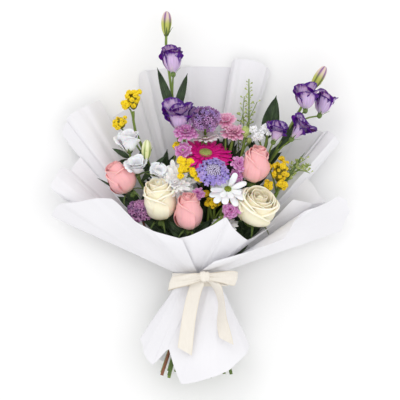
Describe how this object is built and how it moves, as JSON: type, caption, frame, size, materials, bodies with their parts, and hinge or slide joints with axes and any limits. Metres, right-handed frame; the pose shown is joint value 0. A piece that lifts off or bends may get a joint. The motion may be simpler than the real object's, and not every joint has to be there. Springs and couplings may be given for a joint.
{
  "type": "mixed flower bouquet",
  "caption": "Tied bouquet of mixed cut flowers in a white paper wrap with a cream ribbon bow, laid on its back.",
  "frame": {"origin": "on the flat outside of the back sheet, on the surface that the bouquet lies on, at the middle of the blooms", "axes": "+Y from the cut stem ends to the blooms, +X to the right as seen from the front, +Z out of the front of the bouquet"},
  "size_m": [0.5043, 0.6238, 0.1484],
  "materials": {
    "petal_orchid": "orchid-pink petal",
    "petal_white": "white petal, soft and matte",
    "stem_green": "fresh green stem, calyx and leaf, satin",
    "disc": "green-yellow floret disc, matte and velvety",
    "petal_pale_pink": "pale pink petal",
    "leaf_green": "dark green leaf, satin",
    "petal_magenta": "magenta ray petal, velvety",
    "bud_green": "pale green seed pods and buds",
    "petal_violet_rim": "pale petal with a deep purple rim",
    "floret_mauve": "mauve florets in a dense head",
    "ribbon": "cream satin ribbon",
    "petal_cream": "cream rose petal, soft and matte",
    "petal_rose_pink": "pink rose petal with a peach edge, soft and matte",
    "petal_lilac": "lilac petal",
    "twine": "twisted twine",
    "wrap_paper": "white wrapping paper, semi-matte, a little translucent",
    "floret_yellow": "yellow florets in a dense head",
    "floret_ochre": "darker yellow florets in a dense head"
  },
  "bodies": {
    "root": {"buttons_low": "petal_orchid", "buttons_upper": "petal_orchid", "chrysanthemum_petals": "petal_white", "chrysanthemum_stem": "stem_green", "daisy_centre_disc": "disc", "daisy_centre_petals": "petal_white", "daisy_centre_stem": "stem_green", "daisy_low": "petal_white", "daisy_pale": "petal_pale_pink", "foliage_centre": "leaf_green", "foliage_left": "leaf_green", "foliage_right": "leaf_green", "gerbera_disc": "disc", "gerbera_petals": "petal_magenta", "gerbera_stem": "stem_green", "green_buds": "bud_green", "lisianthus_left_flower_1": "petal_violet_rim", "lisianthus_left_flower_2": "petal_violet_rim", "lisianthus_left_stem": "stem_green", "lisianthus_right_flower_1": "petal_violet_rim", "lisianthus_right_flower_2": "petal_violet_rim", "lisianthus_right_flower_3": "petal_violet_rim", "lisianthus_right_flower_4": "petal_violet_rim", "lisianthus_right_stem": "stem_green", "lisianthus_white": "petal_white", "mauve_low": "floret_mauve", "mauve_top": "floret_mauve", "orchid_top": "petal_orchid", "pink_spray": "petal_pale_pink", "pods_right": "bud_green", "pods_tall": "bud_green", "ribbon_band": "ribbon", "ribbon_bow": "ribbon", "rose_cream_left_petals": "petal_cream", "rose_cream_left_stem": "stem_green", "rose_cream_right_petals": "petal_cream", "rose_cream_right_stem": "stem_green", "rose_pink_front_petals": "petal_rose_pink", "rose_pink_front_stem": "stem_green", "rose_pink_left_petals": "petal_rose_pink", "rose_pink_left_stem": "stem_green", "rose_pink_right_petals": "petal_rose_pink", "rose_pink_right_stem": "stem_green", "scabiosa_petals": "petal_lilac", "scabiosa_stem": "stem_green", "stem_binding": "twine", "white_sprig": "petal_white", "wrap_back": "wrap_paper", "wrap_back_right": "wrap_paper", "wrap_front": "wrap_paper", "wrap_left_front": "wrap_paper", "wrap_left_side": "wrap_paper", "wrap_left_upper": "wrap_paper", "wrap_right_front": "wrap_paper", "wrap_right_side": "wrap_paper", "wrap_right_upper": "wrap_paper", "yellow_centre": "floret_yellow", "yellow_left": "floret_yellow", "yellow_low": "floret_ochre", "yellow_right": "floret_ochre"}
  },
  "joints": []
}
